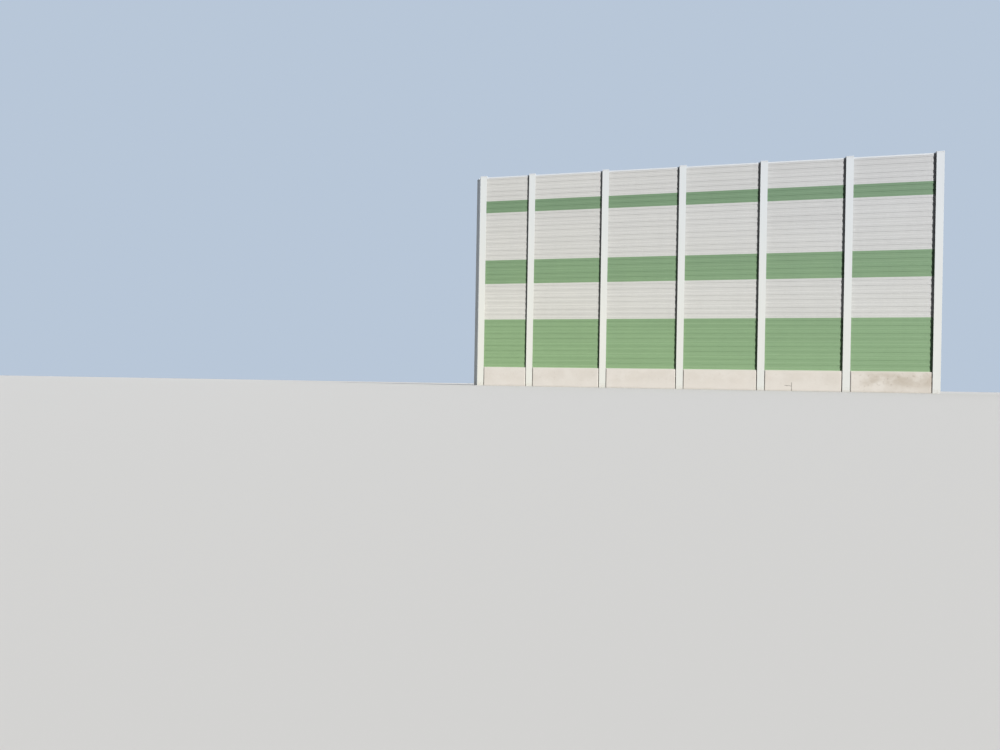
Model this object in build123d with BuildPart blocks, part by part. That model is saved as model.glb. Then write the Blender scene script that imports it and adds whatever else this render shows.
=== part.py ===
"""Noise barrier section: six bays of ribbed cassettes between H-section posts.

The wall runs along X and faces -Y. Z = 0 is the ground, and the origin is under the
middle post. Post 1 is the corner post: from it a second run of the same wall would turn
back, and the return post and the folded corner plate wait for it.
Lengths are in millimetres.
"""
import os
from math import cos, radians, sin

from build123d import *

# Run: a short bay from the corner post, then full bays
first_bay = 2070.0
full_bay = 3000.0
full_bay_count = 5
corner_angle = 122.3
return_post_distance = 400.0

# Rolled H-section of the posts
section_depth = 260.0
flange_width = 260.0
flange_thickness = 17.5
web_thickness = 10.0
root_radius = 24.0
post_projection = 40.0

# Concrete plinth panel: a thick body between the posts, and ends in their chambers that
# are as thick as the cassettes, so that the same sealing strips hold both. The body was
# set nearer to its left post, so the joint at its right end is wider
plinth_height = 790.0
plinth_setback = 5.0
plinth_left_gap = 20.0
plinth_right_gap = 34.0
plinth_wash_drop = 25.0
plinth_arris = 12.0
plinth_end_gap = 15.0
plinth_end_arris = 15.0

# Cassettes, counted upwards from the plinth as (colour, how many)
bands = (("green", 4), ("white", 3), ("green", 2), ("white", 4), ("green", 1), ("white", 2))
cassette_module = 500.0
cassette_thickness = 150.0
cassette_end_gap = 15.0
strips_per_cassette = 5
rib_depth = 7.0
flank_height = 5.0
tongue_width = 40.0
tongue_height = 15.0
tongue_taper = 4.0
tongue_side_gap = 0.5

# Seat left between two pieces that lie on each other
seat_gap = 0.3

# Folded sheet coping over the top cassette
coping_sheet = 3.0
coping_leg = 50.0
coping_edge = 2.0

# Sealing strips between the flanges and the panels, from the ground up to the coping
seal_width = 30.0
seal_inset = 10.0
seal_nose = 8.0

# Folded sheet cap on each post
cap_sheet = 3.0
cap_skirt = 30.0
cap_side_gap = 1.0
cap_edge = 2.0

# Folded plate that closes the outer side of the corner
corner_plate_sheet = 6.0
corner_plate_front_lip = 8.0
corner_plate_return_lip = 30.0

# Levels, from the plinth up
cassette_count = sum(count for colour, count in bands)
stack_bottom = plinth_height + seat_gap
stack_top = stack_bottom + cassette_count * cassette_module
coping_underside = stack_top - seat_gap + tongue_height + seat_gap
coping_top = coping_underside + coping_sheet
post_height = coping_top + post_projection
seal_top = coping_top - coping_leg - seat_gap

# Places of the posts along the run, with the origin under the middle one
post_steps = [0.0] + [first_bay + i * full_bay for i in range(full_bay_count + 1)]
middle_step = post_steps[len(post_steps) // 2]
post_x = [step - middle_step for step in post_steps]
chamber_half = section_depth / 2 - flange_thickness
plinth_half = section_depth / 2 - plinth_setback
face_half = cassette_thickness / 2

# The return run leaves the corner post's axis at the corner angle
return_direction = Vector(cos(radians(corner_angle)), sin(radians(corner_angle)))
outward = Vector(-sin(radians(corner_angle)), cos(radians(corner_angle)))
corner = Vector(post_x[0], 0)
return_post_place = corner + return_direction * return_post_distance


def h_section():
    """Cross-section of a post, with its rounded roots."""
    with BuildSketch() as section:
        Rectangle(web_thickness, section_depth)
        flange_y = (section_depth - flange_thickness) / 2
        with Locations((0, -flange_y), (0, flange_y)):
            Rectangle(flange_width, flange_thickness)
        on_the_web = section.vertices().filter_by_position(
            Axis.X, -web_thickness, web_thickness
        )
        fillet(on_the_web, root_radius)
    return section.sketch


def cassette_section():
    """Cross-section of a cassette: ribs on both faces, tongue on top, groove below."""
    strip = cassette_module / strips_per_cassette
    top = cassette_module - seat_gap
    half_tongue = tongue_width / 2
    half_groove = half_tongue + tongue_side_gap
    outline = [(0, tongue_height), (half_groove - tongue_taper, tongue_height)]
    outline += [(half_groove, 0), (face_half, 0)]
    for i in range(1, strips_per_cassette):
        before, after = (0, rib_depth) if i % 2 else (rib_depth, 0)
        outline += [
            (face_half - before, i * strip - flank_height / 2),
            (face_half - after, i * strip + flank_height / 2),
        ]
    outline += [(face_half, top), (half_tongue, top)]
    outline += [(half_tongue - tongue_taper, top + tongue_height), (0, top + tongue_height)]
    with BuildSketch() as section:
        with BuildLine():
            Polyline(*outline)
            mirror(about=Plane.YZ)
        make_face()
    return section.sketch


def plinth_section():
    """Cross-section of the plinth's body, with a sloping wash up to the cassettes."""
    with BuildSketch() as section:
        with BuildLine():
            Polyline(
                (0, 0),
                (plinth_half, 0),
                (plinth_half, plinth_height - plinth_wash_drop),
                (face_half, plinth_height),
                (0, plinth_height),
            )
            mirror(about=Plane.YZ)
        make_face()
    return section.sketch


def coping_section():
    """Cross-section of the coping, a channel that opens downwards."""
    inside = face_half + seat_gap
    outside = inside + coping_sheet
    with BuildSketch() as section:
        with Locations((0, coping_top - coping_leg / 2)):
            Rectangle(2 * outside, coping_leg)
        chamfer(section.vertices().group_by(Axis.Y)[-1], coping_edge)
        with Locations((0, coping_underside - coping_leg / 2)):
            Rectangle(2 * inside, coping_leg, mode=Mode.SUBTRACT)
    return section.sketch


def seal_section():
    """Cross-section of a sealing strip: flat on the flange, with a narrower nose."""
    reach = chamber_half - face_half - 2 * seat_gap
    with BuildSketch() as section:
        Rectangle(seal_width, reach, align=(Align.CENTER, Align.MIN))
        chamfer(section.vertices().group_by(Axis.Y)[-1], seal_nose)
    return section.sketch


def finish(part, name):
    """Name a piece and write it to its own file."""
    part.label = name
    export_step(part, f"parts/{name}.step")
    print(f"{name}: {len(part.solids())} solids, {part.volume / 1e6:.1f} litres")


os.makedirs("parts", exist_ok=True)
post_profile = h_section()
plinth_profile = plinth_section()
cassette_profile = cassette_section()
coping_profile = coping_section()
seal_profile = seal_section()

# Posts of the run, standing on the ground
for number, x in enumerate(post_x, start=1):
    with BuildPart() as post:
        with BuildSketch():
            with Locations((x, 0)):
                add(post_profile)
        extrude(amount=post_height)
    finish(post.part, f"post_{number}")

# Post of the return run, turned through the corner angle
with BuildPart() as return_post:
    with BuildSketch():
        with Locations((return_post_place.X, return_post_place.Y)):
            add(post_profile, rotation=corner_angle)
    extrude(amount=post_height)
finish(return_post.part, "return_post")

# Corner plate: from the front flange of post 1 to the outer flange of the return post
front_edge = corner + Vector(-flange_width / 2 - seat_gap, -section_depth / 2)
front_bend = front_edge - Vector(corner_plate_front_lip, 0)
return_edge = (
    return_post_place
    + outward * (section_depth / 2)
    - return_direction * (flange_width / 2 + seat_gap)
)
return_bend = return_edge - return_direction * corner_plate_return_lip
with BuildPart() as corner_plate:
    with BuildSketch():
        with BuildLine():
            fold = Polyline(front_edge, front_bend, return_bend, return_edge)
            offset(fold, amount=corner_plate_sheet, side=Side.RIGHT)
        make_face()
    extrude(amount=coping_top)
finish(corner_plate.part, "corner_plate")

# Caps, one on each post and one on the return post
with BuildPart() as cap:
    cap_half_x = flange_width / 2 + cap_side_gap
    cap_half_y = section_depth / 2 + cap_side_gap
    with BuildSketch():
        Rectangle(2 * (cap_half_x + cap_sheet), 2 * (cap_half_y + cap_sheet))
    extrude(amount=cap_sheet)
    chamfer(cap.edges().group_by(Axis.Z)[-1], cap_edge)
    with BuildSketch():
        Rectangle(2 * (cap_half_x + cap_sheet), 2 * (cap_half_y + cap_sheet))
        Rectangle(2 * cap_half_x, 2 * cap_half_y, mode=Mode.SUBTRACT)
    extrude(amount=-cap_skirt)
cap_level = post_height + seat_gap
with BuildPart() as post_caps:
    with Locations([(x, 0, cap_level) for x in post_x]):
        add(cap.part)
    with Locations((return_post_place.X, return_post_place.Y, cap_level)):
        add(cap.part, rotation=(0, 0, corner_angle))
finish(post_caps.part, "post_caps")

# Bays: plinth, cassettes, coping and sealing strips between each pair of posts
for bay, (left_x, right_x) in enumerate(zip(post_x, post_x[1:]), start=1):
    left_web = left_x + web_thickness / 2
    right_web = right_x - web_thickness / 2
    clear_length = right_web - left_web

    plinth_length = clear_length - 2 * plinth_end_gap
    body_start = left_x + flange_width / 2 + plinth_left_gap
    body_end = right_x - flange_width / 2 - plinth_right_gap
    with BuildPart() as plinth:
        with BuildSketch(Plane.YZ.offset(left_web + plinth_end_gap)):
            add(plinth_profile)
        extrude(amount=plinth_length)
        with BuildSketch():
            for end_x, inwards in ((body_start, Align.MAX), (body_end, Align.MIN)):
                with Locations((end_x, -face_half)):
                    Rectangle(plinth_length, section_depth, align=(inwards, Align.MAX))
                with Locations((end_x, face_half)):
                    Rectangle(plinth_length, section_depth, align=(inwards, Align.MIN))
        extrude(amount=plinth_height, mode=Mode.SUBTRACT)
        uprights = plinth.edges().filter_by(Axis.Z).group_by(Axis.Y)
        chamfer(uprights[0] + uprights[-1], plinth_arris)
        ends = plinth.edges().filter_by(Axis.Z).group_by(Axis.X)
        chamfer(ends[0] + ends[-1], plinth_end_arris)
    finish(plinth.part, f"plinth_{bay}")

    cassette_start = Plane.YZ.offset(left_web + cassette_end_gap)
    panel_length = clear_length - 2 * cassette_end_gap
    for colour in ("white", "green"):
        levels = []
        level = stack_bottom
        for band_colour, count in bands:
            if band_colour == colour:
                levels += [level + i * cassette_module for i in range(count)]
            level += count * cassette_module
        with BuildPart() as cassettes:
            with BuildSketch(cassette_start):
                with Locations([(0, z) for z in levels]):
                    add(cassette_profile)
            extrude(amount=panel_length)
        finish(cassettes.part, f"{colour}_cassettes_{bay}")

    with BuildPart() as coping:
        with BuildSketch(cassette_start):
            add(coping_profile)
        extrude(amount=panel_length)
    finish(coping.part, f"coping_{bay}")

    seal_x = flange_width / 2 - seal_inset - seal_width / 2
    with BuildPart() as seals:
        with BuildSketch():
            for x in (left_x + seal_x, right_x - seal_x):
                with Locations((x, chamber_half - seat_gap)):
                    add(seal_profile, rotation=180)
                with Locations((x, -chamber_half + seat_gap)):
                    add(seal_profile)
        extrude(amount=seal_top)
    finish(seals.part, f"edge_seals_{bay}")
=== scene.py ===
# %% [markdown]
# # A noise barrier, finished in cells
#
# The barrier is a wall of long sheet-metal cassettes. They are stacked between steel
# H-section posts and stand on concrete plinth panels. The solid model already holds the
# right sizes, so it is loaded first and used as a fixed frame: every new piece takes its
# place from the boxes of the solids.

import math

import bmesh
import bpy
from mathutils import Matrix, Vector


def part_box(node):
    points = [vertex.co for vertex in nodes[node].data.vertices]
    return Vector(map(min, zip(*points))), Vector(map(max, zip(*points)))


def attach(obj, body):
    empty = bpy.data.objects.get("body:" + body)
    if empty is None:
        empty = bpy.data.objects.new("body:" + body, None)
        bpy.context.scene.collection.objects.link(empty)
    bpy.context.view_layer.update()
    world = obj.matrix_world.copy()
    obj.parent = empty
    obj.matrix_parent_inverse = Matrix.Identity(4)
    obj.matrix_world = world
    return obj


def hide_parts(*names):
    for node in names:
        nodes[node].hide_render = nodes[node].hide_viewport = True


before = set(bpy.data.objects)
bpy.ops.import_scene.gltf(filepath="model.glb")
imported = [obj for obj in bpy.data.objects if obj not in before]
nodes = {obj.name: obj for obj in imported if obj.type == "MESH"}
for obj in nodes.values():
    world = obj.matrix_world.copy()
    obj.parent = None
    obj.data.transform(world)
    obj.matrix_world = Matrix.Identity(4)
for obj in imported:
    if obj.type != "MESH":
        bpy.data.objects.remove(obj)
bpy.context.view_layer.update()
bays = range(1, 7)
posts = range(1, 8)

# %% [markdown]
# ## The camera
#
# The camera stands where the photograph was taken. The wall was solved from the edges of
# its bands and posts, which gives the camera's place, its turn to the left and its slight
# roll. It looks out almost level. The same sum gives a wide lens of 24 mm and a small
# shift, because the middle of the picture isn't quite the middle of the lens. The camera
# is only a hand above the level of the wall's foot, so the floor is seen almost edge on.

# %% Camera
camera_place = Vector((-1.935, -27.716, 0.09))
turn_left = math.radians(13.18)
look_up = math.radians(-0.106)
roll = 0.0171
sensor_width = 36.0
lens_length = 24.018
lens_shift = (0.0272, 0.0093)
nearest, furthest = 0.02, 400.0

camera = bpy.data.objects.new("camera", bpy.data.cameras.new("camera"))
bpy.context.scene.collection.objects.link(camera)
camera.data.sensor_width = sensor_width
camera.data.lens = lens_length
camera.data.shift_x, camera.data.shift_y = lens_shift
camera.data.clip_start, camera.data.clip_end = nearest, furthest
camera.matrix_world = (
    Matrix.Translation(camera_place)
    @ Matrix.Rotation(turn_left, 4, "Z")
    @ Matrix.Rotation(math.radians(90) + look_up, 4, "X")
    @ Matrix.Rotation(roll, 4, "Z")
)
bpy.context.scene.camera = camera
to_wall = -camera_place.y
print("camera", round(to_wall, 2), "m in front of the wall")

# %% [markdown]
# ## The light
#
# Out of doors the wall is lit by a low sun from the right, and softly from all round. Here
# one sun lamp stands on the same side, because the shadow that each post throws to its
# left is a main feature of the wall. Its disc is nearly four times as wide as the sun's,
# for softer edges. It stands low, because a higher lamp draws the ribs of the wall too
# strongly: their flanks face up and down, and only a low lamp lights both.

# %% Lamp
lamp_azimuth = math.radians(54)
lamp_height = math.radians(22)
lamp_strength = 5.16
lamp_disc = math.radians(2.0)
lamp_colour = (1.0, 0.985, 0.96)

lamp = bpy.data.objects.new("key_lamp", bpy.data.lights.new("key_lamp", "SUN"))
bpy.context.scene.collection.objects.link(lamp)
lamp.data.energy = lamp_strength
lamp.data.angle = lamp_disc
lamp.data.color = lamp_colour
towards_lamp = Vector((
    math.cos(lamp_height) * math.sin(lamp_azimuth),
    -math.cos(lamp_height) * math.cos(lamp_azimuth),
    math.sin(lamp_height),
))
lamp.rotation_euler = towards_lamp.to_track_quat("Z", "Y").to_euler()

bpy.context.scene.view_settings.view_transform = "Standard"
print(
    "lamp", round(math.degrees(lamp_azimuth)), "degrees round to the right and",
    round(math.degrees(lamp_height)), "up",
)

# %% [markdown]
# Every finish below is a small network of nodes, so a few helpers keep the writing short.
# `add_node` makes a node, sets its choices and fills or links its inputs. `calc` is the
# same for one sum on a Math node, `blend_colours` mixes two colours, and `ramp` turns a
# value into a smooth step. `seen_directly` tells what is looked at from what only gives
# light.

# %% Helpers for nodes
def add_node(tree, kind, inputs=None, **choices):
    """Make a node. An input is given a value, or the socket that feeds it."""
    made = tree.nodes.new(kind)
    for name, choice in choices.items():
        setattr(made, name, choice)
    for key, value in (inputs or {}).items():
        if isinstance(value, bpy.types.NodeSocket):
            tree.links.new(value, made.inputs[key])
        else:
            made.inputs[key].default_value = value
    return made


def calc(tree, operation, *values, clamp=False):
    """One sum on a Math node."""
    inputs = dict(enumerate(values))
    made = add_node(tree, "ShaderNodeMath", inputs, operation=operation, use_clamp=clamp)
    return made.outputs[0]


def blend_colours(tree, share, first, second, how="MIX"):
    """Mix two colours, each a value or a socket, by a share from 0 to 1."""
    inputs = {0: share, 6: first, 7: second}
    made = add_node(tree, "ShaderNodeMix", inputs, data_type="RGBA", blend_type=how)
    return made.outputs[2]


def ramp(tree, value, low, high, out_low=0.0, out_high=1.0):
    """Turn a value between low and high into a smooth step."""
    inputs = dict(enumerate((value, low, high, out_low, out_high)))
    made = add_node(tree, "ShaderNodeMapRange", inputs, interpolation_type="SMOOTHSTEP")
    return made.outputs[0]


def seen_directly(tree):
    """1 for rays from the camera, by way of gloss or glass as well, and 0 for others."""
    ray = add_node(tree, "ShaderNodeLightPath").outputs
    seen = calc(tree, "MAXIMUM", ray["Is Camera Ray"], ray["Is Glossy Ray"])
    return calc(tree, "MAXIMUM", seen, ray["Is Transmission Ray"])


# %% [markdown]
# The rest of the light is a soft dome. It is dim in front, so that the shadows beside the
# posts stay deep, and much brighter behind the wall and to its left, so that the rear
# face and the corner can be judged as well. What the camera and glossy paint see of the
# world is a separate pale blue-grey.

# %% The dome's light and the backdrop's colour
dome_level = 0.065
rear_level = 1.25
dome_colour = (0.87, 0.935, 1.03, 1.0)
brightest_way = Vector((-0.42, 0.90, 0.10)).normalized()
backdrop_colour = (0.48, 0.57, 0.69, 1.0)

world = bpy.data.worlds.new("dome")
bpy.context.scene.world = world
world.use_nodes = True
dome_tree = world.node_tree
dome_tree.nodes.clear()
direction = add_node(dome_tree, "ShaderNodeTexCoord").outputs["Generated"]
towards_rear = add_node(
    dome_tree, "ShaderNodeVectorMath", {0: direction, 1: brightest_way},
    operation="DOT_PRODUCT",
).outputs["Value"]
dome = add_node(dome_tree, "ShaderNodeBackground", {
    "Color": dome_colour,
    "Strength": ramp(dome_tree, towards_rear, 0.0, 0.95, dome_level, rear_level),
})
backdrop = add_node(dome_tree, "ShaderNodeBackground", {
    "Color": backdrop_colour, "Strength": 1.0,
})
both = add_node(dome_tree, "ShaderNodeMixShader", {
    0: seen_directly(dome_tree), 1: dome.outputs[0], 2: backdrop.outputs[0],
})
add_node(dome_tree, "ShaderNodeOutputWorld", {"Surface": both.outputs[0]})
print("dome", dome_level, "in front and", rear_level, "behind")

# %% [markdown]
# The floor is one large plain disc, a millimetre under the wall's foot. It is pale to the
# camera. For the light that it throws back it is dark, because a white floor would fill
# the shadows beside the posts.

# %% Floor
floor_radius = 180.0
floor_level = -0.001
floor_as_seen = (0.70, 0.685, 0.66, 1.0)
floor_for_light = (0.09, 0.088, 0.085, 1.0)

bpy.ops.mesh.primitive_circle_add(
    vertices=96, radius=floor_radius, fill_type="NGON", location=(0, 0, floor_level)
)
floor = bpy.context.object
floor.name = "floor"
floor_finish = bpy.data.materials.new("pale_floor")
floor_finish.use_nodes = True
tree = floor_finish.node_tree
floor_shader = tree.nodes["Principled BSDF"]
floor_shader.inputs["Roughness"].default_value = 0.9
floor_shader.inputs["Specular IOR Level"].default_value = 0.1
tree.links.new(
    blend_colours(tree, seen_directly(tree), floor_for_light, floor_as_seen),
    floor_shader.inputs["Base Color"],
)
floor.data.materials.append(floor_finish)
print("floor", 2 * floor_radius, "m across")

# %% [markdown]
# ## Working on a mesh by hand, in code
#
# The pieces are modelled with the tools of edit mode. A tool acts on all that is selected,
# so each step first says which faces or edges it wants, by where they lie and which way
# they face. These helpers do that choosing.
#
# Three values go with the tests. A face or an edge is `straight` when it points along an
# axis this much, from 0 to 1. Two places are the same when they are this `close`, in
# metres. An edge counts as a fold when its two faces turn by more than `least_fold`.

# %% Helpers that choose
straight = 0.9
close = 0.0005
least_fold = math.radians(20)


def none_selected():
    """Go to object mode, with nothing selected."""
    if bpy.context.mode != "OBJECT":
        bpy.ops.object.mode_set(mode="OBJECT")
    bpy.ops.object.select_all(action="DESELECT")


def alone(piece):
    """Leave one object selected, in object mode."""
    none_selected()
    piece.select_set(True)
    bpy.context.view_layer.objects.active = piece


def edit(piece, kind):
    """Open a piece in edit mode, with faces or edges to choose from."""
    alone(piece)
    bpy.ops.object.mode_set(mode="EDIT")
    bpy.ops.mesh.select_mode(type=kind)
    bpy.ops.mesh.select_all(action="DESELECT")


def choose_faces(piece, wanted):
    """Select the faces that pass a test of their middle and normal."""
    edit(piece, "FACE")
    mesh = bmesh.from_edit_mesh(piece.data)
    for face in mesh.faces:
        face.select_set(bool(wanted(face.calc_center_median(), face.normal)))
    bmesh.update_edit_mesh(piece.data)


def choose_edges(piece, wanted):
    """Select the edges that pass a test of their middle, direction and fold angle."""
    edit(piece, "EDGE")
    mesh = bmesh.from_edit_mesh(piece.data)
    for edge in mesh.edges:
        one, other = (v.co for v in edge.verts)
        fold = edge.calc_face_angle(0.0)
        way = (other - one).normalized()
        edge.select_set(bool(wanted((one + other) / 2, way, fold)))
    bmesh.update_edit_mesh(piece.data)


def cut_at(point, normal):
    """Cut what is selected along a plane."""
    bpy.ops.mesh.bisect(plane_co=point, plane_no=normal, use_fill=False)


# %% [markdown]
# The next helpers work on whole pieces. `settle` puts a piece's place into its mesh, so
# that every object stays at the origin as the solids do. `block` adds the cube that most
# pieces start from. `copied` and `joined` repeat what is modelled once, and
# `round_shading` lets the small bends look round while the large faces stay flat.

# %% Helpers for whole pieces
def settle(piece):
    """Leave edit mode and put the object's place into its mesh."""
    alone(piece)
    bpy.ops.object.transform_apply(location=True, rotation=True, scale=True)


def block(name, low, high):
    """A cube primitive that fills the room between two corners."""
    low, high = Vector(low), Vector(high)
    none_selected()
    bpy.ops.mesh.primitive_cube_add(
        size=1, location=(low + high) / 2, scale=high - low
    )
    piece = bpy.context.object
    piece.name = name
    settle(piece)
    return piece


def copied(piece, change):
    """A copy with its own mesh, moved or turned by a matrix."""
    mesh = piece.data.copy()
    mesh.transform(change)
    twin = bpy.data.objects.new(piece.name, mesh)
    bpy.context.scene.collection.objects.link(twin)
    return twin


def joined(pieces, name):
    """Make one object of several."""
    alone(pieces[0])
    for piece in pieces:
        piece.select_set(True)
    bpy.ops.object.join()
    made = bpy.context.object
    made.name = name
    made.data.name = name
    return made


def round_shading(piece, angle=32):
    """Shade the bends as round, and keep the large flat faces flat."""
    alone(piece)
    bpy.ops.object.shade_smooth_by_angle(angle=math.radians(angle))
    weighted = piece.modifiers.new("weighted", "WEIGHTED_NORMAL")
    weighted.keep_sharp = True
    bpy.ops.object.modifier_apply(modifier="weighted")


def triangles(piece):
    """How many triangles a piece comes to."""
    return sum(len(face.vertices) - 2 for face in piece.data.polygons)


# %% [markdown]
# ## The cassette
#
# A cassette is a long box of thin sheet, half a metre high, that is filled with mineral
# wool. Both faces are rolled into five flat strips, and every second strip lies 7 mm
# further back. The sloping flanks between them make the fine lines that run along the
# wall: a flank that faces up is light, and one that faces down is dark. A tongue on top
# fits the groove of the cassette above.
#
# It could be drawn as a profile and extruded. Here it starts as a block that is cut at
# each bend, because then moving the recessed strips inwards makes the flanks by itself,
# as the rolls do in the factory. One cassette, one metre long, is made and stretched later.

# %% One cassette, cut and pressed
module = 0.5
seat_gap = 0.0003
strips = 5
strip = module / strips
rib_depth = 0.007
flank_half = 0.0025
panel_low, panel_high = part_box("white_cassettes_2")
face_half = (panel_high.y - panel_low.y) / 2

cassette = block("cassette", (0, -face_half, 0), (1, face_half, module - seat_gap))
bends = [i * strip for i in range(1, strips)]
edit(cassette, "FACE")
for bend in bends:
    for level in (bend - flank_half, bend + flank_half):
        bpy.ops.mesh.select_all(action="SELECT")
        cut_at((0, 0, level), (0, 0, 1))


def in_recess(middle):
    """True for the second and fourth strip of the cassette."""
    return int(middle.z / strip) in (1, 3) and min(
        abs(middle.z - bend) for bend in bends
    ) > flank_half


for side in (-1, 1):
    choose_faces(cassette, lambda middle, normal: (
        normal.y * side > straight and in_recess(middle)
    ))
    bpy.ops.transform.translate(value=(0, -side * rib_depth, 0))
print("cassette", len(cassette.data.polygons), "faces after the strips are pressed")

# %% [markdown]
# The tongue is drawn up from a strip in the middle of the top, and narrowed a little so
# that it finds the groove. The groove is the same step turned round: a strip that is a
# little wider is pushed into the bottom.

# %% Tongue and groove
tongue_half = 0.020
groove_half = 0.0205
tongue_height = 0.015
taper = 0.004
half_length = 0.5

for top, half in ((True, tongue_half), (False, groove_half)):
    turn = 1 if top else -1
    choose_faces(cassette, lambda middle, normal: normal.z * turn > straight)
    cut_at((0, -half, 0), (0, 1, 0))
    choose_faces(cassette, lambda middle, normal: (
        normal.z * turn > straight and middle.y > -half
    ))
    cut_at((0, half, 0), (0, 1, 0))
    choose_faces(cassette, lambda middle, normal: (
        normal.z * turn > straight and abs(middle.y) < half
    ))
    bpy.ops.mesh.extrude_region_move(
        TRANSFORM_OT_translate={"value": (0, 0, tongue_height)}
    )
    bpy.ops.transform.resize(
        value=(1, (half - taper) / half, 1),
        center_override=(half_length, 0, module if top else tongue_height),
    )
bpy.ops.object.mode_set(mode="OBJECT")
print("tongue up to", round(max(v.co.z for v in cassette.data.vertices), 4), "m")

# %% [markdown]
# Sheet metal has no sharp edges. Each bend gets a small radius, and the two long edges of
# each face a larger one, so that two cassettes meet in a soft V that catches the light.

# %% Folds of the sheet
fold_radius = 0.002
arris_radius = 0.003
beside_the_tongue = 0.05

for radius, at_joint in ((fold_radius, False), (arris_radius, True)):
    choose_edges(cassette, lambda middle, way, fold: (
        abs(way.x) > straight
        and fold > least_fold
        and abs(middle.y) > beside_the_tongue
        and (min(middle.z, module - middle.z) < close) == at_joint
    ))
    bpy.ops.mesh.bevel(offset=radius, segments=2, profile=0.5, affect="EDGES")
settle(cassette)
print("cassette", triangles(cassette), "triangles")

# %% [markdown]
# Sixteen cassettes make a bay. From the plinth up they are four green, three white, two
# green, four white, one green and two white. Each bay's length comes from the solids,
# because the bay beside the corner is shorter. All cassettes of one colour in a bay are
# joined to one piece, which stands for the solids of that bay.

# %% Stack the cassettes
bands = (("green", 4), ("white", 3), ("green", 2), ("white", 4), ("green", 1), ("white", 2))
stack_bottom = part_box("green_cassettes_2")[0].z
cassette_pieces = {"white": [], "green": []}

for bay in bays:
    for colour in ("white", "green"):
        low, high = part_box(f"{colour}_cassettes_{bay}")
        stretch = Matrix.Diagonal((high.x - low.x, 1, 1, 1))
        stack = []
        row = 0
        for band_colour, count in bands:
            for i in range(count):
                if band_colour == colour:
                    level = stack_bottom + row * module
                    place = Matrix.Translation((low.x, 0, level))
                    stack.append(copied(cassette, place @ stretch))
                row += 1
        piece = joined(stack, f"{colour}_panels_{bay}")
        round_shading(piece)
        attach(piece, "root")
        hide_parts(f"{colour}_cassettes_{bay}")
        cassette_pieces[colour].append(piece)
bpy.data.objects.remove(cassette)
print("bays", len(cassette_pieces["white"]), "rows", row)

# %% [markdown]
# ## The coping
#
# A folded channel sits over the top cassette and keeps rain out of the wool. Its lower
# edges are turned outwards as a drip. The channel starts as a block that loses its bottom
# and its ends, the drip is extruded from the open edges, and Solidify gives the sheet its
# thickness.

# %% Fold one coping
coping_low, coping_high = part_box("coping_2")
sheet = 0.003
drip = 0.002
coping_fold_radius = 0.0014

coping = block(
    "coping", (0, coping_low.y, coping_low.z + drip), (1, coping_high.y, coping_high.z)
)
choose_faces(coping, lambda middle, normal: (
    normal.z < -straight or abs(normal.x) > straight
))
bpy.ops.mesh.delete(type="FACE")
for side in (-1, 1):
    choose_edges(coping, lambda middle, way, fold: (
        abs(way.x) > straight
        and middle.y * side > 0
        and middle.z < coping_low.z + drip + close
    ))
    bpy.ops.mesh.extrude_edges_move(
        TRANSFORM_OT_translate={"value": (0, side * drip, -drip)}
    )
settle(coping)
thicken = coping.modifiers.new("sheet", "SOLIDIFY")
thicken.thickness = sheet
thicken.offset = -1
round_off = coping.modifiers.new("folds", "BEVEL")
round_off.width = coping_fold_radius
round_off.segments = 2
round_off.limit_method = "ANGLE"
round_off.angle_limit = least_fold
for modifier in ("sheet", "folds"):
    bpy.ops.object.modifier_apply(modifier=modifier)
print("coping", triangles(coping), "triangles")

# %% [markdown]
# Each coping is held by painted self-drilling screws along both legs: a hexagonal head on
# a round washer. One screw is made from a washer and a head, and copied along the bay. The
# screws stay between the flanges of the posts, where a hand can reach them.

# %% One screw
washer_radius = 0.008
washer_height = 0.002
washer_rim = 0.0018
washer_rise = 0.0006
head_radius = 0.0055
head_height = 0.005
head_chamfer = 0.0009


def one_screw():
    """A screw head that sits on the plane y = 0 and looks towards -y."""
    none_selected()
    bpy.ops.mesh.primitive_cylinder_add(
        vertices=12, radius=washer_radius, depth=washer_height,
        location=(0, -washer_height / 2, 0), rotation=(math.radians(90), 0, 0),
    )
    washer = bpy.context.object
    settle(washer)
    choose_faces(washer, lambda middle, normal: normal.y < -straight)
    bpy.ops.mesh.inset(thickness=washer_rim, depth=washer_rise)
    none_selected()
    head_middle = -washer_height - head_height / 2
    bpy.ops.mesh.primitive_cylinder_add(
        vertices=6, radius=head_radius, depth=head_height,
        location=(0, head_middle, 0), rotation=(math.radians(90), 0, 0),
    )
    head = bpy.context.object
    settle(head)
    choose_faces(head, lambda middle, normal: normal.y < -straight)
    bpy.ops.mesh.bevel(offset=head_chamfer, segments=1, affect="EDGES")
    bpy.ops.object.mode_set(mode="OBJECT")
    return joined([washer, head], "screw")


screw = one_screw()
print("screw", triangles(screw), "triangles")

# %% [markdown]
# One coping, a metre long, is copied and stretched to the length of each bay. Its ends are
# open, so the stretch changes nothing else. The screws are copied unstretched, evenly
# spaced at about 45 cm, in pairs on the front and the rear leg.

# %% Lay the copings and their screws
half_turn = Matrix.Rotation(math.radians(180), 4, "Z")
screw_pitch = 0.45
screw_to_post = 0.15
below_the_middle = 0.004
coping_pieces = []
screw_pieces = []

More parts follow.
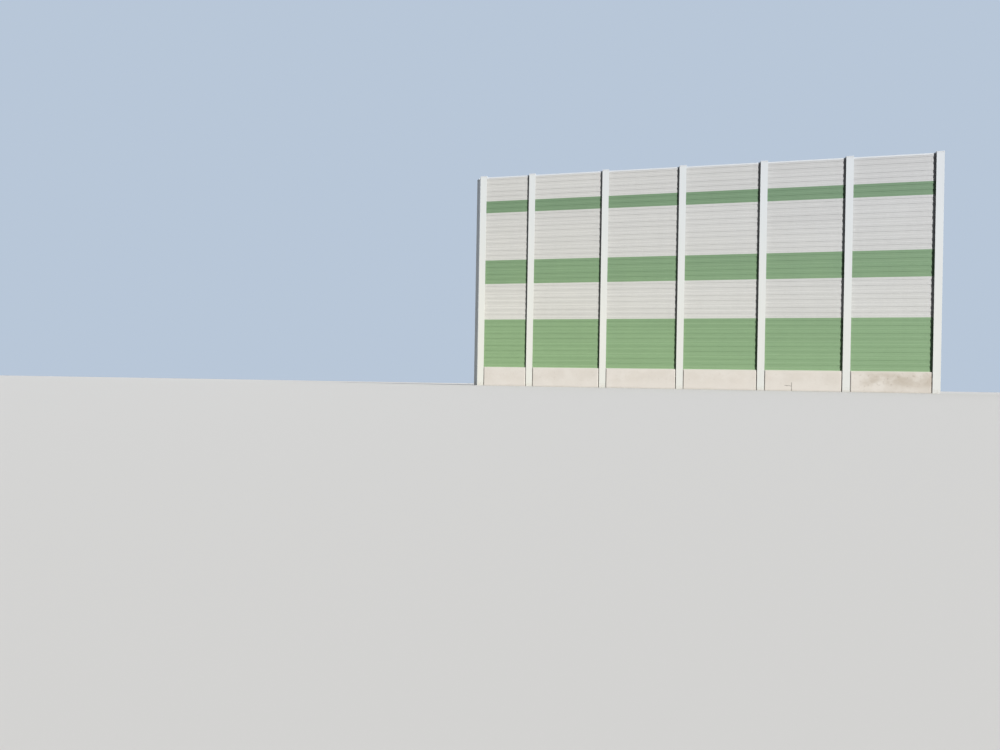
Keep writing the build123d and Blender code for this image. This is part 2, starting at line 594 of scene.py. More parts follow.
for bay in bays:
    low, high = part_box(f"coping_{bay}")
    stretch = Matrix.Diagonal((high.x - low.x, 1, 1, 1))
    piece = copied(coping, Matrix.Translation((low.x, 0, 0)) @ stretch)
    piece.name = f"coping_sheet_{bay}"
    round_shading(piece)
    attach(piece, "root")
    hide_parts(f"coping_{bay}")
    coping_pieces.append(piece)

    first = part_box(f"post_{bay}")[1].x + screw_to_post
    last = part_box(f"post_{bay + 1}")[0].x - screw_to_post
    count = round((last - first) / screw_pitch) + 1
    level = (low.z + high.z) / 2 - below_the_middle
    row = []
    for i in range(count):
        x = first + i * (last - first) / (count - 1)
        row.append(copied(screw, Matrix.Translation((x, low.y, level))))
        row.append(copied(screw, Matrix.Translation((x, high.y, level)) @ half_turn))
    screws = joined(row, f"coping_screws_{bay}")
    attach(screws, "root")
    screw_pieces.append(screws)
bpy.data.objects.remove(coping)
print("screws", sum(triangles(p) for p in screw_pieces), "triangles")

# %% [markdown]
# ## The caps on the posts
#
# A folded lid keeps water off the top of each post. It is a block whose underside is inset
# by the thickness of the sheet and pushed up, which leaves a skirt all round. Its corners
# and top edges are rounded, and four screws hold it.

# %% One cap
side_gap = 0.001
cap_radius = 0.002
cap_screw_x = 0.085
caps_low, caps_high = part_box("post_caps")
post_low, post_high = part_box("post_4")
flange_half = (post_high.x - post_low.x) / 2
depth_half = (post_high.y - post_low.y) / 2
cap_half_x = flange_half + side_gap + sheet
cap_half_y = depth_half + side_gap + sheet

cap = block(
    "cap", (-cap_half_x, -cap_half_y, caps_low.z), (cap_half_x, cap_half_y, caps_high.z)
)
choose_faces(cap, lambda middle, normal: normal.z < -straight)
bpy.ops.mesh.inset(thickness=sheet, depth=0)
bpy.ops.mesh.extrude_region_move(
    TRANSFORM_OT_translate={"value": (0, 0, post_high.z - caps_low.z + seat_gap)}
)
choose_edges(cap, lambda middle, way, fold: (
    fold > least_fold
    and max(abs(middle.x) - cap_half_x, abs(middle.y) - cap_half_y) > -close
    and (middle.z > caps_high.z - close or abs(way.z) > straight)
))
bpy.ops.mesh.bevel(offset=cap_radius, segments=2, profile=0.5, affect="EDGES")
settle(cap)
skirt_middle = (caps_low.z + post_high.z) / 2
cap_screws = []
for side in (-1, 1):
    for x in (-cap_screw_x, cap_screw_x):
        turned = Matrix.Identity(4) if side < 0 else half_turn
        place = Matrix.Translation((x, side * cap_half_y, skirt_middle))
        cap_screws.append(copied(screw, place @ turned))
cap = joined([cap] + cap_screws, "cap")
bpy.data.objects.remove(screw)
print("cap", triangles(cap), "triangles")

# %% [markdown]
# Each post gets a copy of the cap, over the middle of its box. Seven caps stand square,
# and the one on the return post is turned by the angle of the corner, as that post is.

# %% Set the caps on the posts
corner_angle = math.radians(122.3)
caps = []
for post in posts:
    low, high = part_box(f"post_{post}")
    caps.append(copied(cap, Matrix.Translation(((low.x + high.x) / 2, 0, 0))))
return_low, return_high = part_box("return_post")
return_centre = (return_low + return_high) / 2
return_centre.z = 0
return_place = Matrix.Translation(return_centre)
caps.append(copied(cap, return_place @ Matrix.Rotation(corner_angle, 4, "Z")))
cap_lids = joined(caps, "cap_lids")
round_shading(cap_lids)
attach(cap_lids, "root")
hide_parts("post_caps")
bpy.data.objects.remove(cap)
print("caps", len(caps), "with", triangles(cap_lids), "triangles")

# %% [markdown]
# ## The plinth panels
#
# Under the cassettes stands a thick concrete panel with a sloping wash on top. Cast
# concrete is never as true as the drawing. The solid's own mesh is copied, its loose
# triangles are merged to whole faces, its arrises are rounded, and it is cut into a grid.
# A Displace modifier with a cloud pattern then moves the surface by up to a millimetre and
# a half, which is enough to make the long edges look cast.

# %% Cast the plinths
grid_step = 0.12
plinth_arris = 0.004
unevenness = 0.003
cast_pattern = bpy.data.textures.new("cast", "CLOUDS")
cast_pattern.noise_scale = 0.35
cast_pattern.noise_depth = 3
plinth_pieces = []

for bay in bays:
    piece = copied(nodes[f"plinth_{bay}"], Matrix.Identity(4))
    piece.name = f"plinth_panel_{bay}"
    edit(piece, "VERT")
    bpy.ops.mesh.select_all(action="SELECT")
    bpy.ops.mesh.remove_doubles(threshold=0.0001)
    bpy.ops.mesh.dissolve_limited(angle_limit=math.radians(1))
    choose_edges(piece, lambda middle, way, fold: fold > least_fold)
    bpy.ops.mesh.bevel(offset=plinth_arris, segments=2, profile=0.5, affect="EDGES")
    low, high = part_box(f"plinth_{bay}")
    for axis, normal in ((0, (1, 0, 0)), (2, (0, 0, 1))):
        steps = round((high[axis] - low[axis]) / grid_step)
        for i in range(1, steps):
            point = [0, 0, 0]
            point[axis] = low[axis] + i * (high[axis] - low[axis]) / steps
            bpy.ops.mesh.select_all(action="SELECT")
            cut_at(point, normal)
    settle(piece)
    cast = piece.modifiers.new("cast", "DISPLACE")
    cast.texture = cast_pattern
    cast.texture_coords = "LOCAL"
    cast.strength = unevenness
    cast.mid_level = 0.5
    bpy.ops.object.modifier_apply(modifier="cast")
    round_shading(piece)
    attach(piece, "root")
    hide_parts(f"plinth_{bay}")
    plinth_pieces.append(piece)
print("plinths", sum(triangles(p) for p in plinth_pieces), "triangles")

# %% [markdown]
# ## The welds of the corner plate
#
# The folded plate at the corner is held to the two posts by short welds, one every half
# metre. A weld bead is a low rounded ridge with ripples. It starts as a thin cylinder that
# stands in the joint. It is cut into rings, every second ring is drawn in a little, and
# both ends are narrowed.

# %% One weld bead
bead_length = 0.07
bead_radius = 0.0045
rings = 8
drawn_in = 0.82
narrowed = 0.5

none_selected()
bpy.ops.mesh.primitive_cylinder_add(vertices=8, radius=bead_radius, depth=bead_length)
bead = bpy.context.object
bead.name = "bead"
for i in range(1, rings):
    level = -bead_length / 2 + i * bead_length / rings
    edit(bead, "FACE")
    bpy.ops.mesh.select_all(action="SELECT")
    cut_at((0, 0, level), (0, 0, 1))
for i in range(rings + 1):
    level = -bead_length / 2 + i * bead_length / rings
    share = narrowed if i in (0, rings) else drawn_in if i % 2 else 1.0
    edit(bead, "VERT")
    mesh = bmesh.from_edit_mesh(bead.data)
    for vertex in mesh.verts:
        vertex.select_set(abs(vertex.co.z - level) < close)
    mesh.select_flush_mode()
    bmesh.update_edit_mesh(bead.data)
    bpy.ops.transform.resize(value=(share, share, 1), center_override=(0, 0, level))
settle(bead)
print("bead", triangles(bead), "triangles")

# %% [markdown]
# The beads lie in two upright joints: along the front flange of the corner post, and along
# the outer flange of the return post. The place of the second joint is found from that
# post's middle, half its depth outwards and half its width back, along its own turned
# axes. Each bead is sunk a little into the metal, as a weld is.

# %% Lay the welds along the corner plate
weld_pitch = 0.5
lowest_weld = 0.3
top_margin = 0.1
sunk = 0.0015
corner_post_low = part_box("post_1")[0]
plate_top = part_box("corner_plate")[1].z
return_way = Vector((math.cos(corner_angle), math.sin(corner_angle), 0))
outward = Vector((-math.sin(corner_angle), math.cos(corner_angle), 0))
front_joint = Vector((corner_post_low.x, corner_post_low.y + sunk, 0))
return_joint = (
    return_centre + outward * (depth_half - sunk) - return_way * flange_half
)
beads = []
for joint in (front_joint, return_joint):
    level = lowest_weld
    while level < plate_top - top_margin:
        beads.append(copied(bead, Matrix.Translation((joint.x, joint.y, level))))
        level += weld_pitch
welds = joined(beads, "corner_welds")
bpy.ops.object.shade_smooth_by_angle(angle=math.radians(60))
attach(welds, "root")
bpy.data.objects.remove(bead)
print("welds", len(beads), "at x", [round(j.x, 3) for j in (front_joint, return_joint)])

# %% [markdown]
# ## Finishes
#
# All finishes read Object coordinates. Every object sits at the origin, so these are
# metres in the wall's own frame: x runs along the wall, y through it and z up. A pattern
# that is tied to a level, such as soil near the foot, can therefore be written directly.
#
# `new_finish` makes a material and gives its node tree, its shader and its coordinates,
# which `split` takes apart. `noise` is a soft random pattern, `varied` lets it move a
# number up and down, and `toned` uses that number to make a colour lighter or darker.

# %% Helpers for finishes
def new_finish(name, specular):
    """A material with its node tree, shader and coordinates."""
    finish = bpy.data.materials.new(name)
    finish.use_nodes = True
    tree = finish.node_tree
    shader = tree.nodes["Principled BSDF"]
    shader.inputs["Specular IOR Level"].default_value = specular
    place = add_node(tree, "ShaderNodeTexCoord").outputs["Object"]
    return finish, tree, shader, place


def split(tree, vector):
    """The x, y and z of a vector."""
    return add_node(tree, "ShaderNodeSeparateXYZ", {0: vector}).outputs


def noise(tree, place, scale, detail=3.0, stretch=(1, 1, 1)):
    """Soft noise from 0 to 1, stretched along the axes."""
    mapped = add_node(tree, "ShaderNodeMapping", {"Vector": place, "Scale": stretch})
    made = add_node(tree, "ShaderNodeTexNoise", {
        "Vector": mapped.outputs[0], "Scale": scale, "Detail": detail, "Roughness": 0.55,
    })
    return made.outputs[0]


def varied(tree, number, pattern, span):
    """A number that a pattern from 0 to 1 moves, by half the span up or down."""
    return calc(tree, "MULTIPLY_ADD", calc(tree, "SUBTRACT", pattern, 0.5), span, number)


def toned(tree, colour, tone):
    """A colour made lighter or darker by a factor."""
    grey = add_node(tree, "ShaderNodeCombineColor", {0: tone, 1: tone, 2: tone})
    return blend_colours(tree, 1.0, colour, grey.outputs[0], "MULTIPLY")


# %% [markdown]
# Dirt and painted shade depend on which way a surface looks, so `looks_along` reads that
# from the normal.
# `set_gloss` and `set_bump` feed the shader, and `dress` puts a finish on its pieces.
#
# The colour of the whole wall shifts a little from one end to the other: it is warmer by
# the corner, and duller and cooler at the far end. That is painted shading, not a change
# of the paint. The helper that tints a colour by its place along the wall does that.

# %% More helpers for finishes
# Painted shading along the run: warmer by the corner, cooler at the far end.
warm_end, warm_tint = -9.0, (1.035, 1.025, 0.998, 1.0)
cool_end, cool_tint = 9.5, (0.965, 0.972, 0.998, 1.0)


def looks_along(tree, axis):
    """How far a surface looks along an axis, from -1 to 1."""
    normal = add_node(tree, "ShaderNodeNewGeometry").outputs["Normal"]
    return split(tree, normal)[axis]


def edge_on(tree):
    """1 on surfaces that look along the wall, 0 elsewhere. These get painted shade."""
    return ramp(tree, calc(tree, "ABSOLUTE", looks_along(tree, 0)), 0.95, 0.99)


def painted_shading_along_run(tree, x, colour):
    """Tint a colour by its place along the wall, as painted shading."""
    tint = blend_colours(tree, ramp(tree, x, warm_end, cool_end), warm_tint, cool_tint)
    return blend_colours(tree, 1.0, colour, tint, "MULTIPLY")


def set_gloss(tree, shader, roughness, marks, added):
    """Feed the roughness to the shader, changed where marks lie, such as dirt, damp and
    painted shade.
    """
    roughness = calc(tree, "MULTIPLY_ADD", marks, added, roughness, clamp=True)
    tree.links.new(roughness, shader.inputs["Roughness"])


def set_bump(tree, shader, height, unit):
    """Feed a height to the shader's normal, in units of so many metres."""
    bump = add_node(tree, "ShaderNodeBump", {"Height": height, "Distance": unit})
    tree.links.new(bump.outputs[0], shader.inputs["Normal"])


def dress(pieces, finish):
    """Give pieces a finish in place of what they had."""
    for piece in pieces:
        piece.data.materials.clear()
        piece.data.materials.append(finish)
    print(finish.name, "on", len(pieces), "pieces")


# %% [markdown]
# ### The cassettes' sheet
#
# The cassettes are coated sheet. On the face that takes up the sound, the sheet is
# perforated with small round holes in staggered rows, and only a narrow margin along each
# joint is plain. From a distance the holes run together to a slightly darker tone.
#
# Real holes would take millions of faces, so they are drawn by the finish. They are three
# cosine waves, turned by 60 degrees to each other: where their sum is high there is a hole.

# %% Holes of the cassettes
hole_step = 0.009
wave_rate = 2 * math.pi / hole_step
plain_margin = 0.013
margin_blur = 0.001
hole_rim = (0.25, 0.55)


def holes(tree, x, y, z):
    """1 in the holes of the front face, 0 on plain sheet."""
    across = calc(tree, "MULTIPLY", x, wave_rate)
    half_across = calc(tree, "MULTIPLY", across, 0.5)
    rise = calc(tree, "MULTIPLY", z, wave_rate * math.sin(math.radians(60)))
    first = calc(tree, "COSINE", across)
    second = calc(tree, "COSINE", calc(tree, "ADD", half_across, rise))
    third = calc(tree, "COSINE", calc(tree, "SUBTRACT", half_across, rise))
    waves = calc(tree, "ADD", calc(tree, "ADD", first, second), third)
    hole = ramp(tree, waves, *hole_rim)

    above = calc(tree, "SUBTRACT", z, stack_bottom)
    to_joint = calc(tree, "PINGPONG", above, module / 2)
    off_margin = ramp(
        tree, to_joint, plain_margin - margin_blur, plain_margin + margin_blur
    )
    perforated = calc(tree, "MULTIPLY", off_margin, calc(tree, "LESS_THAN", y, 0.0))
    return calc(tree, "MULTIPLY", hole, perforated)


print("columns of holes", round(1 / hole_step), "to the metre")

# %% [markdown]
# The colour isn't the same all over. Each cassette differs a little in tone from the next,
# rain has left faint upright streaks, and wide patches have weathered more than others.
# White noise that is fed with the number of the bay and the row gives each cassette its
# own tone, and a noise that is drawn out twenty times in height gives the streaks.

# %% Tone of the cassettes
bay_length = 3.0
hole_darkness = 0.38
own_span = 0.035
streak_span = 0.07
patch_span = 0.06


def sheet_tone(tree, place, patches):
    """A factor near 1 for the paint of the cassettes."""
    x, y, z = split(tree, place)
    above = calc(tree, "SUBTRACT", z, stack_bottom)
    bay_number = calc(tree, "FLOOR", calc(tree, "DIVIDE", x, bay_length))
    row_number = calc(tree, "FLOOR", calc(tree, "DIVIDE", above, module))
    cell = add_node(tree, "ShaderNodeCombineXYZ", {0: bay_number, 1: row_number})
    own = add_node(tree, "ShaderNodeTexWhiteNoise", {"Vector": cell.outputs[0]})
    streaks = noise(tree, place, scale=9.0, detail=4.0, stretch=(1, 1, 0.05))
    tone = varied(tree, 1.0, own.outputs[0], own_span)
    tone = varied(tree, tone, streaks, streak_span)
    tone = varied(tree, tone, patches, patch_span)
    hole_share = calc(tree, "MULTIPLY_ADD", holes(tree, x, y, z), -hole_darkness, 1.0)
    return calc(tree, "MULTIPLY", tone, hole_share)


# %% [markdown]
# The colour is paler towards the foot, with an uneven line between. That is painted
# light, as the ground throws light up onto the lower rows. Grime lies on the narrow
# flanks that face up, and dulls them; it is also painted shade, which tones down the
# light that those flanks catch from the low lamp. The sheet is never quite flat: besides
# the fine peel of the paint it has wide shallow dents that bend the light.

# %% Finish of the cassettes
# Painted light: the lower rows are paler, for light that the ground throws up.
fade_top, fade_foot = 8.6, 0.4
fade_span = 1.6
# Grime on the flanks that face up, and painted shade that dims their light.
most_grime_and_shade = 0.45
sheet_grime_and_shade = (0.30, 0.28, 0.25, 1.0)
sheet_paints_and_ground_light = {
    "white": ((0.712, 0.72, 0.72, 1.0), (0.795, 0.795, 0.75, 1.0)),
    "green": ((0.219, 0.350, 0.218, 1.0), (0.315, 0.487, 0.266, 1.0)),
}


def cassette_finish(name, paint_high, paint_with_ground_light):
    """Coated and perforated sheet, painted paler towards the foot for light from the
    ground.
    """
    finish, tree, shader, place = new_finish(name, specular=0.15)
    x, y, z = split(tree, place)
    level = varied(tree, z, noise(tree, place, scale=1.3, detail=5.0), fade_span)
    ground_light_share = ramp(tree, level, fade_top, fade_foot)
    colour = blend_colours(tree, ground_light_share, paint_high, paint_with_ground_light)
    patches = noise(tree, place, scale=0.5, detail=4.0)
    colour = toned(tree, colour, sheet_tone(tree, place, patches))
    # Grime and painted shade on the flanks that face up.
    grime_and_shade = calc(tree, "MULTIPLY", ramp(tree, looks_along(tree, 2), 0.25, 0.75), most_grime_and_shade)
    colour = blend_colours(tree, grime_and_shade, colour, sheet_grime_and_shade)
    tree.links.new(painted_shading_along_run(tree, x, colour), shader.inputs["Base Color"])
    set_gloss(tree, shader, varied(tree, 0.50, patches, span=0.12), grime_and_shade, added=0.35)
    peel = calc(tree, "MULTIPLY", noise(tree, place, scale=420.0, detail=1.0), 0.25)
    dents = noise(tree, place, scale=1.1, detail=2.0, stretch=(0.6, 1, 1.6))
    height = calc(tree, "MULTIPLY_ADD", dents, 12.0, peel)
    set_bump(tree, shader, height, unit=0.0002)
    return finish


for colour, colour_pair in sheet_paints_and_ground_light.items():
    dress(cassette_pieces[colour], cassette_finish(f"{colour}_perforated_sheet", *colour_pair))

# %% [markdown]
# ### The posts' paint
#
# The posts are painted off-white over zinc. Paint that is sprayed on a rolled section
# keeps a fine orange peel and a few long runs. Its colour is a little cooler at the top
# and warmer below: that is painted light, from the sky above and the ground below. Water
# that drips off the caps leaves thin grey lines at the top, and splashed soil dries on
# the lowest part.

# %% Paint of the posts, with drip lines and soil
# Painted light: cooler at the top for the sky, warmer below for the ground.
post_paint_sky_lit = (0.740, 0.778, 0.805, 1.0)
post_paint_ground_lit = (0.820, 0.833, 0.788, 1.0)
drip_darkness = 0.12
most_soil = 0.30
soil_colour = (0.46, 0.37, 0.27, 1.0)


def painted_steel(tree, z, patches, runs):
    """Off-white paint with its runs and drip lines, and painted sky and ground light."""
    tone = varied(tree, varied(tree, 1.01, patches, span=0.05), runs, span=0.04)
    drips = calc(tree, "MULTIPLY", ramp(tree, runs, 0.55, 0.75), ramp(tree, z, 8.1, 8.85))
    tone = calc(tree, "MULTIPLY_ADD", drips, -drip_darkness, tone)
    # Painted light: the share of the warmer colour grows towards the foot.
    ground_light_share = ramp(tree, z, 8.8, 1.0)
    return toned(tree, blend_colours(tree, ground_light_share, post_paint_sky_lit, post_paint_ground_lit), tone)


def splashed_soil(tree, z, splash):
    """How much soil there is: most at the foot, with an uneven upper edge."""
    reach = calc(tree, "MULTIPLY_ADD", splash, 0.7, calc(tree, "MULTIPLY", z, -1.0))
    return calc(tree, "MULTIPLY", ramp(tree, reach, 0.15, 0.45), most_soil)


# %% [markdown]
# Grime gathers in the chambers between the flanges, where no rain washes it off. The
# darkening there is also painted shade, which keeps the lit web from going white. It is
# left out on the corner plate and the return post, which lie to the left of the corner
# post and aren't sheltered like that. Surfaces that look along the wall, such as the
# narrow edges of the flanges, are painted greyer: that is painted shade too, which keeps
# them from going white where the low lamp strikes them.

# %% Finish of the posts
chamber_half = 0.111
chamber_blur = 0.005
sheltered_from = corner_post_low.x - 0.0005
# Grime in the chambers, which is also painted shade.
chamber_grime_and_shade = (0.35, 0.34, 0.315, 1.0)
# Painted shade on surfaces that look along the wall.
shaded_edge_colour = (0.46, 0.455, 0.43, 1.0)
edge_share = 0.5


def post_finish():
    """Off-white paint on a rolled section."""
    finish, tree, shader, place = new_finish("off_white_post_paint", specular=0.30)
    x, y, z = split(tree, place)
    patches = noise(tree, place, scale=1.7, detail=4.0, stretch=(1, 1, 0.3))
    runs = noise(tree, place, scale=38.0, detail=3.0, stretch=(1, 1, 0.03))
    splash = noise(tree, place, scale=16.0, detail=6.0)
    soil = splashed_soil(tree, z, splash)
    colour = blend_colours(tree, soil, painted_steel(tree, z, patches, runs), soil_colour)

    # Grime and painted shade inside the chambers.
    depth = calc(tree, "ABSOLUTE", y)
    inside = ramp(tree, depth, chamber_half + chamber_blur, chamber_half - chamber_blur)
    inside = calc(tree, "MULTIPLY", inside, calc(tree, "GREATER_THAN", x, sheltered_from))
    grime_and_shade = calc(tree, "MULTIPLY", inside, varied(tree, 0.65, splash, span=0.5))
    colour = blend_colours(tree, grime_and_shade, colour, chamber_grime_and_shade)

    # Painted shade on surfaces that look along the wall.
    edge_shade = calc(tree, "MULTIPLY", edge_on(tree), edge_share)
    colour = blend_colours(tree, edge_shade, colour, shaded_edge_colour)
    tree.links.new(painted_shading_along_run(tree, x, colour), shader.inputs["Base Color"])
    set_gloss(tree, shader, varied(tree, 0.45, patches, span=0.14), soil, added=0.5)
    peel = noise(tree, place, scale=300.0, detail=2.0)
    height = calc(tree, "MULTIPLY_ADD", runs, 0.5, peel)
    set_bump(tree, shader, height, unit=0.0003)
    return finish


steel_pieces = [nodes[f"post_{post}"] for post in posts]
steel_pieces += [nodes["return_post"], nodes["corner_plate"], welds]
dress(steel_pieces, post_finish())

# %% [markdown]
# ### The coping and the caps
#
# Coping and caps are sheet with a smooth coat that is slightly cooler than the posts. Its
# cool blue cast is painted light from a blue sky above. Their flat tops gather a thin layer
# of dirt, which the rain has left in blots. The sheet's ends and the sides of the caps,
# which look along the wall, are painted darker all over: that is painted shade, which
# keeps them from going white under the low lamp.

# %% Finish of the coping and caps
# The cool blue cast of the coat is painted sky light.
coping_coat_sky_lit = (0.77, 0.805, 0.85, 1.0)
# Dirt on the tops, and painted shade on the ends and sides.
coping_dirt_and_shade = (0.48, 0.465, 0.42, 1.0)
most_blotted = 0.45


def coping_finish():
    """Coated sheet: blots of dirt on top, painted shade on its ends, painted sky light."""
    finish, tree, shader, place = new_finish("coated_coping_sheet", specular=0.25)
    patches = noise(tree, place, scale=2.4, detail=4.0)
    blots = ramp(tree, noise(tree, place, scale=8.0, detail=6.0), 0.32, 0.75)
    on_top = ramp(tree, looks_along(tree, 2), 0.5, 0.9)
    marks = calc(tree, "MULTIPLY", calc(tree, "MULTIPLY", blots, on_top), most_blotted)
    # Painted shade on the ends and sides that look along the wall.
    marks = calc(tree, "MAXIMUM", marks, calc(tree, "MULTIPLY", edge_on(tree), edge_share))
    colour = toned(tree, coping_coat_sky_lit, varied(tree, 0.98, patches, span=0.06))
    colour = blend_colours(tree, marks, colour, coping_dirt_and_shade)
    tree.links.new(colour, shader.inputs["Base Color"])
    set_gloss(tree, shader, varied(tree, 0.555, patches, span=0.15), marks, added=0.8)
    peel = noise(tree, place, scale=350.0, detail=2.0)
    set_bump(tree, shader, peel, unit=0.0002)
    return finish


dress(coping_pieces + screw_pieces + [cap_lids], coping_finish())

# %% [markdown]
# ### The concrete of the plinths
#
# The plinth is smooth cast concrete, pale and warm, with a fine grain. From afar it has
# cloudy stains and brown specks, which are strongest in the upper part of the last bay. It
# is a little damp at the foot, and dirt lies on the wash, where the rain runs down. The
# wash is also painted darker as shade, which tones down the light that it catches from
# above.
#
# Each of these is a helper. Two of them change the colour so far, and the damp is only a
# share, because it changes the gloss as well.

# %% Stains, damp and wash
concrete_colour = (0.765, 0.725, 0.67, 1.0)
stain_colour = (0.50, 0.435, 0.35, 1.0)
speck_colour = (0.36, 0.29, 0.22, 1.0)
damp_colour = (0.46, 0.41, 0.34, 1.0)
# Dirt on the wash, and painted shade that dulls its light.
wash_dirt_and_shade = (0.60, 0.59, 0.53, 1.0)
most_stained, most_specked, most_damp, most_washed = 0.70, 0.45, 0.25, 0.8


def stained(tree, place, colour):
    """Cloudy stains and brown specks, most of them high up in the last bay."""
    x, y, z = split(tree, place)
    last_bay = ramp(tree, x, 5.9, 7.2, 0.25, 1.0)
    upper = calc(tree, "MULTIPLY", ramp(tree, z, 0.10, 0.40), ramp(tree, z, 0.80, 0.60))
    share = calc(tree, "MULTIPLY", last_bay, calc(tree, "MULTIPLY_ADD", upper, 0.6, 0.4))
    clouds = noise(tree, place, scale=1.5, detail=6.0, stretch=(1, 1, 1.3))
    stain = calc(tree, "MULTIPLY", ramp(tree, clouds, 0.32, 0.64), share)
    stain = calc(tree, "MULTIPLY", stain, most_stained)
    flecks = noise(tree, place, scale=9.0, detail=5.0)
    speck = calc(tree, "MULTIPLY", ramp(tree, flecks, 0.56, 0.72), share)
    speck = calc(tree, "MULTIPLY", speck, most_specked)
    colour = blend_colours(tree, stain, colour, stain_colour)
    return blend_colours(tree, speck, colour, speck_colour)


def damp_foot(tree, z, clouds):
    """How damp the concrete is: most at the foot, with an uneven upper edge."""
    reach = calc(tree, "MULTIPLY_ADD", clouds, 0.16, calc(tree, "MULTIPLY", z, -1.0))
    return calc(tree, "MULTIPLY", ramp(tree, reach, 0.0, 0.10), most_damp)


def dirty_shaded_wash(tree, z, colour):
    """The sloping wash on top of the plinth, duller than its face: dirt and painted shade.
    """
    share = calc(tree, "MULTIPLY", ramp(tree, z, 0.755, 0.77), most_washed)
    return blend_colours(tree, share, colour, wash_dirt_and_shade)


# %% [markdown]
# Up close the concrete shows the small round voids that air leaves against the mould. A
# Voronoi pattern gives cells with a middle: some of the cells are picked, and each picked
# one has a void of its own size in its middle.

# %% Voids
cells_to_the_metre = 45.0
picked_above = 0.82
smallest_void = 0.05
void_spread = 0.14
void_rim = 0.02


def air_voids(tree, place):
    """1 in the small round voids, 0 on smooth concrete."""
    cells = add_node(tree, "ShaderNodeTexVoronoi", {
        "Vector": place, "Scale": cells_to_the_metre,
    })
    pick = add_node(tree, "ShaderNodeSeparateColor", {0: cells.outputs["Color"]}).outputs
    picked = calc(tree, "GREATER_THAN", pick[0], picked_above)
    size = calc(tree, "MULTIPLY_ADD", pick[1], void_spread, smallest_void)
    past_rim = calc(tree, "SUBTRACT", cells.outputs["Distance"], size)
    return calc(tree, "MULTIPLY", ramp(tree, past_rim, void_rim, -void_rim), picked)


print("voids in", round(100 * (1 - picked_above)), "of 100 cells")

# %% [markdown]
# The fifth panel has a fine crack: a short level stroke that turns and runs down. Each
# stroke is a straight band whose place a noise lets wander, as a crack does.

# %% Crack
stroke_blur = 0.004
crack_start, crack_turn = 3.86, 4.112
crack_level, crack_top, crack_foot = 0.197, 0.32, -0.01
level_half, upright_half = 0.010, 0.012
crack_wander = 0.09


def stroke(tree, along, across, start, end, at, half_width):
    """1 on a straight stroke with soft edges, 0 elsewhere."""
    inside = calc(
        tree, "MULTIPLY",
        ramp(tree, along, start - stroke_blur, start + stroke_blur),
        ramp(tree, along, end + stroke_blur, end - stroke_blur),
    )
    off = calc(tree, "ABSOLUTE", calc(tree, "SUBTRACT", across, at))
    return calc(tree, "MULTIPLY", inside, ramp(tree, off, half_width, half_width * 0.4))


def fine_crack(tree, place):
    """1 in the crack of the fifth panel, 0 elsewhere."""
    x, y, z = split(tree, place)
    wander = varied(tree, 0.0, noise(tree, place, scale=7.0), crack_wander)
    level_line = calc(tree, "ADD", z, wander)
    upright_line = calc(tree, "ADD", x, wander)
    crack = calc(
        tree, "MAXIMUM",
        stroke(tree, x, level_line, crack_start, crack_turn, crack_level, level_half),
        stroke(tree, z, upright_line, crack_foot, crack_top, crack_turn, upright_half),
    )
    return calc(tree, "MULTIPLY", crack, calc(tree, "LESS_THAN", y, 0.0))


print("crack", round(crack_turn - crack_start, 2), "m level and", crack_top, "m upright")

# %% [markdown]
# The finish puts these together. Voids and crack are hollows, so they also go into the
# bump, and damp concrete is less matt than dry.

# %% Finish of the plinths
void_colour, void_share = (0.24, 0.21, 0.18, 1.0), 0.6
crack_colour, crack_share = (0.12, 0.10, 0.08, 1.0), 0.95
void_depth, crack_depth = 3.0, 4.0


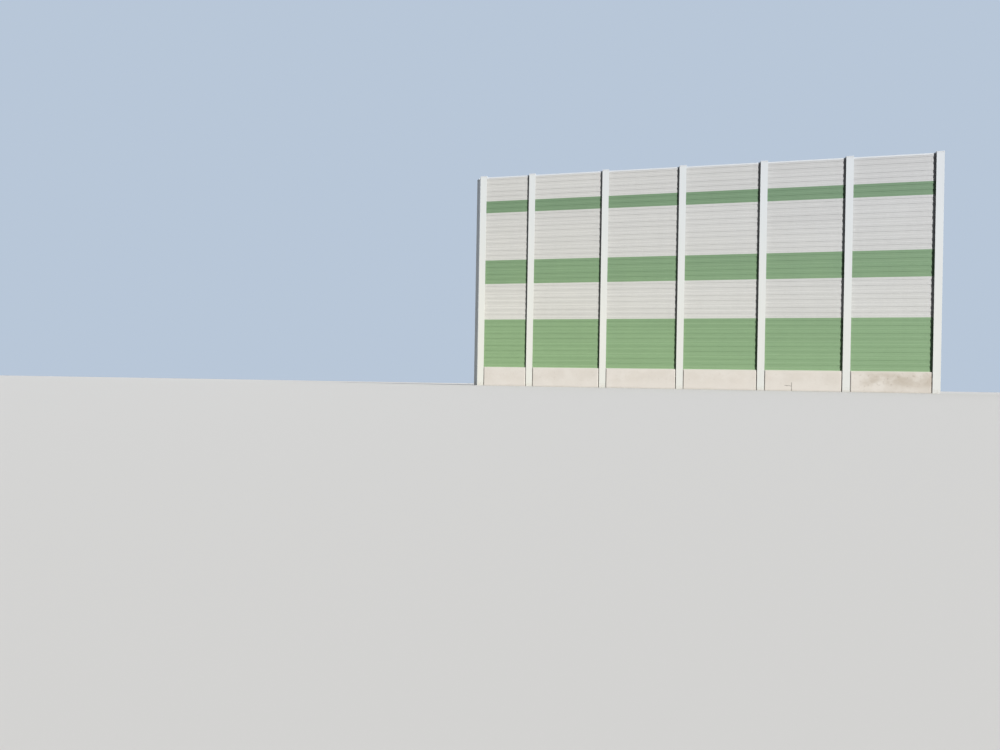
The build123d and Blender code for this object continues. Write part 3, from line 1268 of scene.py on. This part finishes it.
def concrete_finish():
    """Pale cast concrete with stains, voids and one crack."""
    finish, tree, shader, place = new_finish("cast_concrete", specular=0.30)
    z = split(tree, place)[2]
    clouds = noise(tree, place, scale=1.4, detail=5.0)
    grain = noise(tree, place, scale=160.0, detail=3.0)
    tone = varied(tree, varied(tree, 1.03, clouds, span=0.10), grain, span=0.10)
    colour = stained(tree, place, toned(tree, concrete_colour, tone))
    damp = damp_foot(tree, z, clouds)
    colour = dirty_shaded_wash(tree, z, blend_colours(tree, damp, colour, damp_colour))

    voids = air_voids(tree, place)
    crack = fine_crack(tree, place)
    for hollow, share, dark in (
        (voids, void_share, void_colour), (crack, crack_share, crack_colour),
    ):
        colour = blend_colours(tree, calc(tree, "MULTIPLY", hollow, share), colour, dark)
    tree.links.new(colour, shader.inputs["Base Color"])
    set_gloss(tree, shader, varied(tree, 0.85, grain, span=0.2), damp, added=-0.3)
    height = calc(tree, "MULTIPLY_ADD", voids, -void_depth, grain)
    height = calc(tree, "MULTIPLY_ADD", crack, -crack_depth, height)
    set_bump(tree, shader, height, unit=0.0006)
    return finish


dress(plinth_pieces, concrete_finish())

# %% [markdown]
# ### The sealing strips
#
# The sealing strips are black rubber that has gone grey where dust settles. They stand in
# the recess beside each post, from the foot to the coping, and are only seen at a slant
# or as the dark joint beside a plinth. So the solids keep their shape and get this finish.

# %% Finish of the sealing strips
rubber_colour = (0.018, 0.018, 0.02, 1.0)
dust_colour = (0.16, 0.15, 0.135, 1.0)
most_dust = 0.35


def rubber_finish():
    """Black rubber with a film of dust."""
    finish, tree, shader, place = new_finish("seal_rubber_black", specular=0.35)
    film = noise(tree, place, scale=14.0, detail=5.0, stretch=(1, 1, 0.2))
    dust = calc(tree, "MULTIPLY", ramp(tree, film, 0.45, 0.75), most_dust)
    colour = blend_colours(tree, dust, rubber_colour, dust_colour)
    tree.links.new(colour, shader.inputs["Base Color"])
    set_gloss(tree, shader, 0.5, dust, added=0.6)
    grain = noise(tree, place, scale=500.0, detail=2.0)
    set_bump(tree, shader, grain, unit=0.0003)
    return finish


dress([nodes[f"edge_seals_{bay}"] for bay in bays], rubber_finish())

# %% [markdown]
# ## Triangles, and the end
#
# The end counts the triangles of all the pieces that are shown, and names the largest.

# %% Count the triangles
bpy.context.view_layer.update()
shown = [o for o in bpy.context.scene.objects if o.type == "MESH" and not o.hide_render]
print("largest", max((triangles(o), o.name) for o in shown))
print("in all", sum(triangles(o) for o in shown), "triangles in", len(shown), "objects")
